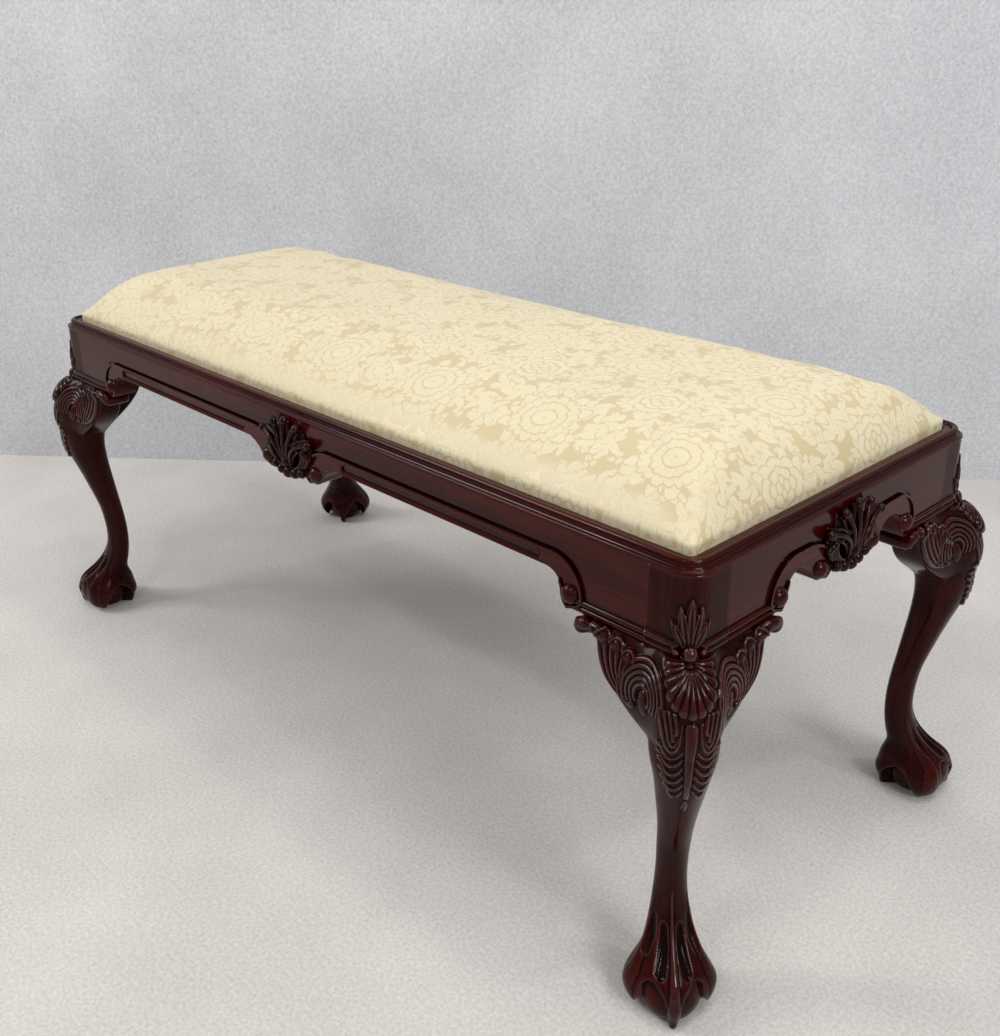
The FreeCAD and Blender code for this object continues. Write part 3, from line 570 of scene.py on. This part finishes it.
class Graph:
    """Short calls for building a node tree."""

    def __init__(self, material):
        material.use_nodes = True
        self.tree = material.node_tree
        self.tree.nodes.clear()
        self.output = self.add("ShaderNodeOutputMaterial")
        self.shader = self.add("ShaderNodeBsdfPrincipled")
        self.join(self.shader.outputs[0], self.output.inputs[0])

    def add(self, kind, **settings):
        node = self.tree.nodes.new(kind)
        for key, value in settings.items():
            setattr(node, key, value)
        return node

    def join(self, a, b):
        self.tree.links.new(a, b)

    def feed(self, socket, value):
        if hasattr(value, "is_linked"):
            self.join(value, socket)
        else:
            socket.default_value = value

    def math(self, operation, *values):
        node = self.add("ShaderNodeMath", operation=operation)
        for socket, value in zip(node.inputs, values):
            self.feed(socket, value)
        return node.outputs[0]

    def ramp(self, factor, stops):
        node = self.add("ShaderNodeValToRGB")
        while len(node.color_ramp.elements) < len(stops):
            node.color_ramp.elements.new(0.5)
        for element, (place, colour) in zip(node.color_ramp.elements, stops):
            element.position = place
            element.color = (*colour, 1)
        self.feed(node.inputs[0], factor)
        return node.outputs[0]

    def span(self, value, low, high, to_low=0.0, to_high=1.0, smooth=True):
        node = self.add("ShaderNodeMapRange")
        node.interpolation_type = "SMOOTHSTEP" if smooth else "LINEAR"
        for socket, number in zip(node.inputs, (value, low, high, to_low, to_high)):
            self.feed(socket, number)
        return node.outputs[0]

    def mix(self, factor, a, b, blend="MIX"):
        node = self.add("ShaderNodeMix", data_type="RGBA", blend_type=blend)
        for socket, value in ((node.inputs[0], factor), (node.inputs[6], a), (node.inputs[7], b)):
            self.feed(socket, value)
        return node.outputs[2]

    def noise(self, vector, scale, detail=4.0, rough=0.5):
        node = self.add("ShaderNodeTexNoise")
        self.join(vector, node.inputs["Vector"])
        node.inputs["Scale"].default_value = scale
        node.inputs["Detail"].default_value = detail
        node.inputs["Roughness"].default_value = rough
        return node.outputs[0]

    def stretched(self, scale):
        place = self.add("ShaderNodeMapping")
        place.inputs["Scale"].default_value = scale
        self.join(self.add("ShaderNodeTexCoord").outputs["Object"], place.inputs["Vector"])
        return place.outputs[0]

    def bump(self, height, strength, distance):
        node = self.add("ShaderNodeBump")
        node.inputs["Strength"].default_value = strength
        node.inputs["Distance"].default_value = distance
        self.join(height, node.inputs["Height"])
        self.join(node.outputs[0], self.shader.inputs["Normal"])


def mahogany(name, grain, carved, depth=1.0):
    """French-polished mahogany with its grain along one axis; painted shade darkens its hollows, and its
    edges are painted redder, partly as wear and partly as painted highlight.
    """
    def tint(red, green, blue):
        return (red * depth, green * depth, blue * depth)

    material = bpy.data.materials.new(name)
    g = Graph(material)
    vector = g.stretched(grain)
    streak = g.noise(vector, 55.0, 6.0, 0.6)
    broad = g.noise(vector, 9.0, 3.0, 0.5)
    tone = g.math("ADD", g.math("MULTIPLY", streak, 0.45), g.math("MULTIPLY", broad, 0.55))
    colour = g.ramp(tone, [(0.25, tint(0.013, 0.0006, 0.0004)), (0.5, tint(0.036, 0.0021, 0.0010)),
                           (0.75, tint(0.092, 0.0072, 0.0030))])
    rough = g.span(broad, 0.3, 0.7, 0.14, 0.22)
    if carved:
        cavity = g.add("ShaderNodeAttribute", attribute_name="cavity").outputs["Fac"]
        # painted shade: near black where the carved surface is hollow
        painted_shade = g.span(cavity, -0.14, 0.14)
        # edges and ridges painted redder: partly wear, partly painted highlight
        edge = g.span(cavity, -0.60, -0.12, 1.0, 0.0)
        polish = g.span(cavity, -0.50, 0.05, 0.90, 0.07)
    else:
        polish = 0.16
        # painted shade: ambient occlusion paints the wood near black in recesses
        shade = g.add("ShaderNodeAmbientOcclusion", samples=6, only_local=True)
        shade.inputs["Distance"].default_value = 0.012
        painted_shade = g.span(shade.outputs["AO"], 0.55, 0.95, 1.0, 0.0)
        # convex edges, found by ambient occlusion from inside, painted redder: partly wear, partly
        # painted highlight
        shade = g.add("ShaderNodeAmbientOcclusion", samples=6, only_local=True, inside=True)
        shade.inputs["Distance"].default_value = 0.003
        edge = g.span(shade.outputs["AO"], 0.45, 0.75, 1.0, 0.0)
    # red on edges and ridges: partly wear, partly painted highlight
    colour = g.mix(g.math("MULTIPLY", edge, 0.35), colour, (*tint(0.105, 0.0075, 0.0026), 1))
    # painted shade mixed in: near black in hollows and recesses
    colour = g.mix(g.math("MULTIPLY", painted_shade, 0.9), colour, (*tint(0.0040, 0.0006, 0.0005), 1))
    g.join(colour, g.shader.inputs["Base Color"])
    g.join(rough, g.shader.inputs["Roughness"])
    g.shader.inputs["Specular IOR Level"].default_value = 0.06 if carved else 0.10
    g.feed(g.shader.inputs["Coat Weight"], polish)
    g.shader.inputs["Coat Roughness"].default_value = 0.05
    g.bump(streak, 0.06, 0.0003)
    return material


def pale_wood(name):
    material = bpy.data.materials.new(name)
    g = Graph(material)
    grain = g.noise(g.stretched((2.0, 22.0, 22.0)), 14.0, 6.0, 0.6)
    colour = g.ramp(grain, [(0.3, (0.36, 0.23, 0.12)), (0.7, (0.56, 0.40, 0.24))])
    g.join(colour, g.shader.inputs["Base Color"])
    g.shader.inputs["Roughness"].default_value = 0.6
    g.bump(grain, 0.15, 0.0004)
    return material


def split(g, vector=None):
    node = g.add("ShaderNodeSeparateXYZ")
    g.join(vector or g.add("ShaderNodeTexCoord").outputs["Object"], node.inputs[0])
    return node.outputs[0], node.outputs[1], node.outputs[2]


def woven(name, dark, light, pitch):
    """Plain weave: two crossed sets of threads."""
    material = bpy.data.materials.new(name)
    g = Graph(material)
    x, y, _ = split(g)
    warp = g.math("ABSOLUTE", g.math("SINE", g.math("MULTIPLY", x, math.pi / pitch)))
    weft = g.math("ABSOLUTE", g.math("SINE", g.math("MULTIPLY", y, math.pi / pitch)))
    thread = g.math("MAXIMUM", warp, weft)
    g.join(g.ramp(thread, [(0.55, dark), (0.95, light)]), g.shader.inputs["Base Color"])
    g.shader.inputs["Roughness"].default_value = 0.9
    g.bump(thread, 0.5, pitch * 0.3)
    return material


def metal(name, colour, rough):
    material = bpy.data.materials.new(name)
    g = Graph(material)
    scratch = g.noise(g.stretched((1, 1, 1)), 900.0, 3.0)
    dark = tuple(c * 0.7 for c in colour)
    g.join(g.ramp(scratch, [(0.3, dark), (0.7, colour)]), g.shader.inputs["Base Color"])
    g.shader.inputs["Metallic"].default_value = 1.0
    g.shader.inputs["Roughness"].default_value = rough
    return material


def folded(g, value, period):
    """Distance to the nearest whole number of periods, so a pattern mirrors at every half period."""
    share = g.math("FRACT", g.math("ADD", g.math("DIVIDE", value, period), 0.5))
    return g.math("MULTIPLY", g.math("ABSOLUTE", g.math("SUBTRACT", share, 0.5)), period)


def polar(g, x, y):
    radius = g.math("SQRT", g.math("ADD", g.math("MULTIPLY", x, x), g.math("MULTIPLY", y, y)))
    return radius, g.math("ARCTAN2", y, x)


def lobes(g, angle, count, shift=0.0):
    """One at the middle of each of count petals round a circle and nought between them."""
    return g.math("ABSOLUTE", g.math("COSINE", g.math("MULTIPLY_ADD", angle, count / 2, shift)))


def flower(g, radius, angle, size, rings):
    """Rings of petals parted by thin lines of the ground, within a ring of pointed leaves."""
    thin = PETAL_GAP
    body = None
    inner = 0.0
    for count, base, swing, shift in rings:
        lobe = lobes(g, angle, count, shift)
        rim = g.math("MULTIPLY_ADD", lobe, swing * size, base * size)
        inside = g.span(g.math("SUBTRACT", rim, radius), 0.0, thin)
        beyond = g.span(g.math("SUBTRACT", radius, inner), thin, 2.2 * thin) if body else 1.0
        parted = g.span(g.math("MULTIPLY", lobe, radius), 0.8 * thin, 2.4 * thin)
        petal = g.math("MULTIPLY", inside, g.math("MULTIPLY", beyond, parted))
        body = g.math("MAXIMUM", body, petal) if body else petal
        inner = rim
    leaf = g.math("POWER", lobes(g, angle, 11, 0.4), 1.4)
    tip = g.math("MULTIPLY_ADD", leaf, 0.50 * size, 0.86 * size)
    ring = g.math("MULTIPLY", g.span(g.math("SUBTRACT", tip, radius), 0.0, thin),
                  g.span(g.math("SUBTRACT", radius, inner), thin, 2.2 * thin))
    return g.math("MAXIMUM", body, ring), g.span(g.math("SUBTRACT", radius, tip), 0.5 * thin, 2.5 * thin)


def warped(g, vector, scale, amount):
    """The place moved about by a smooth noise, so drawn outlines turn irregular."""
    noise = g.add("ShaderNodeTexNoise")
    noise.inputs["Scale"].default_value = scale
    noise.inputs["Detail"].default_value = 1.5
    g.join(vector, noise.inputs["Vector"])
    centred = g.add("ShaderNodeVectorMath", operation="SUBTRACT")
    g.join(noise.outputs["Color"], centred.inputs[0])
    centred.inputs[1].default_value = (0.5, 0.5, 0.5)
    moved = g.add("ShaderNodeVectorMath", operation="MULTIPLY_ADD")
    g.join(centred.outputs[0], moved.inputs[0])
    moved.inputs[1].default_value = (amount, amount, 0)
    g.join(vector, moved.inputs[2])
    return moved.outputs[0]


def sprays(g, vector, spacing, size, count):
    """Leaf sprays of count lobes scattered at about a spacing, each turned its own way and veined."""
    thin = PETAL_GAP
    cells = g.add("ShaderNodeTexVoronoi", voronoi_dimensions="2D")
    cells.inputs["Scale"].default_value = 1 / spacing
    g.join(vector, cells.inputs["Vector"])
    local = g.add("ShaderNodeVectorMath", operation="SUBTRACT")
    g.join(vector, local.inputs[0])
    g.join(cells.outputs["Position"], local.inputs[1])
    x, y, _ = split(g, local.outputs[0])
    radius, angle = polar(g, x, y)
    turn = g.math("MULTIPLY", split(g, cells.outputs["Color"])[0], 6.28)
    swirl = g.math("MULTIPLY_ADD", radius, 55.0, g.math("ADD", angle, turn))
    lobe = lobes(g, swirl, count)
    rim = g.math("MULTIPLY_ADD", lobe, 0.62 * size, 0.38 * size)
    inside = g.span(g.math("SUBTRACT", rim, radius), 0.0, thin)
    parted = g.span(g.math("MULTIPLY", lobe, radius), 0.6 * thin, 2.0 * thin)
    ribs = lobes(g, swirl, count, math.pi / 2)
    vein = g.span(g.math("MULTIPLY", ribs, radius), 0.3 * thin, 1.0 * thin)
    return g.math("MULTIPLY", inside, g.math("MULTIPLY", parted, g.math("MULTIPLY_ADD", vein, 0.6, 0.4)))


def damask():
    """Silk damask: a dull woven pattern of flowers and leaf sprays on a shining satin ground."""
    width, height = CELL_WIDTH, CELL_HEIGHT
    material = bpy.data.materials.new("damask")
    g = Graph(material)
    cloth = g.add("ShaderNodeAttribute", attribute_name="cloth").outputs["Vector"]
    x, y, _ = split(g, cloth)
    fold = g.add("ShaderNodeCombineXYZ")
    g.join(folded(g, x, width), fold.inputs[0])
    g.join(folded(g, y, height), fold.inputs[1])
    place = warped(g, fold.outputs[0], 55.0, 0.012)
    near_x, near_y, _ = split(g, place)
    far_x = g.math("SUBTRACT", width / 2, near_x)
    far_y = g.math("SUBTRACT", height / 2, near_y)
    daisy = ((1, 0.30, 0.04, 0.0), (15, 0.62, 0.05, 0.3), (21, 0.84, 0.12, 0.0))
    rose = ((5, 0.26, 0.07, 0.0), (7, 0.52, 0.12, 0.6), (9, 0.80, 0.18, 0.2))
    first, clear_first = flower(g, *polar(g, near_x, near_y), 0.034, daisy)
    second, clear_second = flower(g, *polar(g, far_x, far_y), 0.030, rose)
    strewn = warped(g, cloth, 55.0, 0.012)
    leaves = g.math("MAXIMUM", sprays(g, strewn, 0.031, 0.0185, 5), sprays(g, strewn, 0.019, 0.0085, 3))
    leaves = g.math("MULTIPLY", leaves, g.math("MULTIPLY", clear_first, clear_second))
    motif = g.math("MAXIMUM", leaves, g.math("MAXIMUM", first, second))

    warp = g.math("SINE", g.math("MULTIPLY", x, 2 * math.pi / WARP_PITCH))
    weft = g.math("SINE", g.math("MULTIPLY", y, 2 * math.pi / WEFT_PITCH))
    slub = g.noise(cloth, 320.0, 3.0, 0.6)
    worn = g.noise(cloth, 7.0, 3.0, 0.6)
    ground = g.mix(worn, (0.67, 0.545, 0.300, 1), (0.74, 0.615, 0.360, 1))
    raised = g.mix(worn, (0.79, 0.695, 0.470, 1), (0.85, 0.770, 0.550, 1))
    colour = g.mix(motif, ground, raised)
    colour = g.mix(g.math("MULTIPLY", slub, 0.12), colour, (0.50, 0.38, 0.19, 1))
    g.join(colour, g.shader.inputs["Base Color"])
    g.join(g.span(motif, 0.0, 1.0, 0.32, 0.70, False), g.shader.inputs["Roughness"])
    g.join(g.span(motif, 0.0, 1.0, 0.95, 0.20, False), g.shader.inputs["Specular IOR Level"])
    g.shader.inputs["Sheen Weight"].default_value = 0.15
    g.shader.inputs["Sheen Roughness"].default_value = 0.4
    thread = g.math("MULTIPLY_ADD", g.math("ADD", warp, weft), 0.10, g.math("MULTIPLY", motif, 0.8))
    g.bump(thread, 0.35, 0.0004)
    return material


# Placing the pieces

def dress_nodes(materials):
    """Gives every CAD node that still shows its material."""
    for name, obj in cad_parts.items():
        if name.startswith(("rail_", "moulding_")):
            along = "end" if name.endswith(("left", "right")) else "long"
            chosen = materials["mahogany_" + along]
        elif name.startswith(("corner_block", "seat_frame")) and not name.endswith("screws"):
            chosen = materials["beech"]
        elif name.startswith("webbing"):
            chosen = materials["webbing"]
        else:
            chosen = materials.get(name, materials["mahogany_carved"])
        obj.data.materials.clear()
        obj.data.materials.append(chosen)


def place_legs(material):
    mesh = carve_leg()
    for corner, (degrees, sx, sy) in CORNERS.items():
        leg = link("carved_leg_" + corner, mesh, material)
        leg.matrix_world = (Matrix.Translation((sx * HALF_LENGTH, sy * HALF_DEPTH, 0))
                            @ Matrix.Rotation(math.radians(degrees), 4, "Z"))
        bpy.context.view_layer.update()
        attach(leg, "frame")
        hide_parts("leg_" + corner, "knee_bracket_long_" + corner, "knee_bracket_end_" + corner)


def place_shells(material):
    mesh = carve_shell()
    for side, degrees in SIDES.items():
        out = HALF_DEPTH if degrees % 180 == 0 else HALF_LENGTH
        shell = link("carved_shell_" + side, mesh, material)
        shell.matrix_world = (Matrix.Rotation(math.radians(degrees), 4, "Z")
                              @ Matrix.Translation((0, -out, RAIL_TOP - SHELL_DROP)))
        bpy.context.view_layer.update()
        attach(shell, "frame")
        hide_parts("shell_" + side)


# Stage, light and camera

def plain_stage():
    """A pale floor and a plain pale backdrop behind the seat."""
    floor_mesh = bpy.data.meshes.new("floor")
    floor_mesh.from_pydata([(-9, -9, 0), (9, -9, 0), (9, 9, 0), (-9, 9, 0)], [], [(0, 1, 2, 3)])
    floor = link("floor", floor_mesh, felt("pale_floor", (0.56, 0.53, 0.50), (0.86, 0.820, 0.78), 260.0))
    left, right = (Vector(p) for p in BACKDROP_LINE)
    reach = (right - left) * 3
    low = [left - reach, right + reach]
    wall_mesh = bpy.data.meshes.new("backdrop")
    wall_mesh.from_pydata([low[0], low[1], low[1] + Vector((0, 0, 3)), low[0] + Vector((0, 0, 3))],
                          [], [(0, 1, 2, 3)])
    cloth = felt("pale_wall", (0.52, 0.530, 0.560), (0.84, 0.855, 0.89), 190.0)
    wall = link("backdrop", wall_mesh, one_sided(cloth))


def felt(name, dark, light, fineness):
    """Matted pile: fine specks over broad faint patches."""
    material = bpy.data.materials.new(name)
    g = Graph(material)
    place = g.stretched((1, 1, 1))
    speck = g.noise(place, fineness, 4.0, 0.7)
    patch = g.noise(place, 3.5, 3.0, 0.6)
    tone = g.math("ADD", g.math("MULTIPLY", speck, 0.7), g.math("MULTIPLY", patch, 0.3))
    g.join(g.ramp(tone, [(0.32, dark), (0.68, light)]), g.shader.inputs["Base Color"])
    g.shader.inputs["Roughness"].default_value = 1.0
    g.shader.inputs["Specular IOR Level"].default_value = 0.1
    g.bump(speck, 0.4, 0.002)
    return material


def one_sided(material):
    """The material with its back left clear, so the seat also shows from behind the backdrop."""
    tree = material.node_tree
    output, shader = tree.nodes["Material Output"], tree.nodes["Principled BSDF"]
    side = tree.nodes.new("ShaderNodeNewGeometry")
    clear = tree.nodes.new("ShaderNodeBsdfTransparent")
    choice = tree.nodes.new("ShaderNodeMixShader")
    tree.links.new(side.outputs["Backfacing"], choice.inputs[0])
    tree.links.new(shader.outputs[0], choice.inputs[1])
    tree.links.new(clear.outputs[0], choice.inputs[2])
    tree.links.new(choice.outputs[0], output.inputs[0])
    return material


def lamp(name, at, toward, energy, size, colour):
    data = bpy.data.lights.new(name, "AREA")
    data.energy, data.size, data.color = energy, size, colour
    obj = bpy.data.objects.new(name, data)
    bpy.context.scene.collection.objects.link(obj)
    obj.location = at
    obj.rotation_euler = (Vector(toward) - Vector(at)).to_track_quat("-Z", "Y").to_euler()


def light_scene():
    world = bpy.data.worlds.new("world")
    bpy.context.scene.world = world
    world.use_nodes = True
    world.node_tree.nodes["Background"].inputs[0].default_value = (0.94, 0.97, 1.0, 1)
    world.node_tree.nodes["Background"].inputs[1].default_value = 0.33
    lamp("window", (-2.0, -1.9, 2.3), (0, 0, 0.3), 32, 1.1, (1.0, 0.98, 0.95))
    lamp("ceiling", (0.7, 0.1, 2.7), (0.2, 0.0, 0.3), 15, 1.0, (1.0, 0.99, 0.97))
    lamp("fill", (2.6, -0.6, 1.9), (0, 0, 0.3), 25, 0.9, (1.0, 1.0, 1.0))
    for k, at in enumerate(((-1.3, -1.7, 2.3), (0.6, -1.8, 2.4), (1.6, 0.3, 2.5))):
        lamp("strip_%d" % k, at, (0, 0, 0.3), 5.5, 0.16, (1.0, 0.99, 0.97))


def set_camera():
    yaw, pitch, roll = CAMERA_YAW, CAMERA_PITCH, CAMERA_ROLL
    ahead = Vector((math.sin(yaw) * math.cos(pitch), math.cos(yaw) * math.cos(pitch), math.sin(pitch)))
    right = Vector((math.cos(yaw), -math.sin(yaw), 0))
    up = right.cross(ahead)
    level = right * math.cos(roll) + up * math.sin(roll)
    upright = up * math.cos(roll) - right * math.sin(roll)
    data = bpy.data.cameras.new("camera")
    data.lens, data.sensor_width = CAMERA_LENS, 36.0
    camera = bpy.data.objects.new("camera", data)
    bpy.context.scene.collection.objects.link(camera)
    turn = Matrix((level, upright, -ahead)).transposed().to_4x4()
    camera.matrix_world = Matrix.Translation(CAMERA_AT) @ turn
    bpy.context.scene.camera = camera


MATERIALS = {
    "mahogany_long": mahogany("mahogany_long", (0.35, 6.0, 6.0), False),
    "mahogany_end": mahogany("mahogany_end", (6.0, 0.35, 6.0), False),
    "mahogany_carved": mahogany("mahogany_carved", (5.0, 5.0, 0.5), True, 0.9),
    # the rail shells get a copy of the carved mahogany made darker (0.45): painted shade
    "mahogany_shell_painted_shade": mahogany("mahogany_shell_painted_shade", (5.0, 5.0, 0.5), True, 0.45),
    "beech": pale_wood("beech"),
    "webbing": woven("webbing", (0.25, 0.17, 0.09), (0.50, 0.38, 0.22), 0.0016),
    "hessian": woven("hessian", (0.28, 0.19, 0.10), (0.55, 0.42, 0.26), 0.0014),
    "dust_cover": woven("dust_cover", (0.012, 0.012, 0.013), (0.035, 0.035, 0.037), 0.0009),
    "tacks": metal("tacks", (0.16, 0.17, 0.20), 0.4),
    "corner_block_screws": metal("corner_block_screws", (0.60, 0.58, 0.55), 0.35),
}

dress_nodes(MATERIALS)
build_seat(damask())
place_legs(MATERIALS["mahogany_carved"])
place_shells(MATERIALS["mahogany_shell_painted_shade"])
plain_stage()
light_scene()
set_camera()
bpy.context.scene.view_settings.view_transform = "Standard"
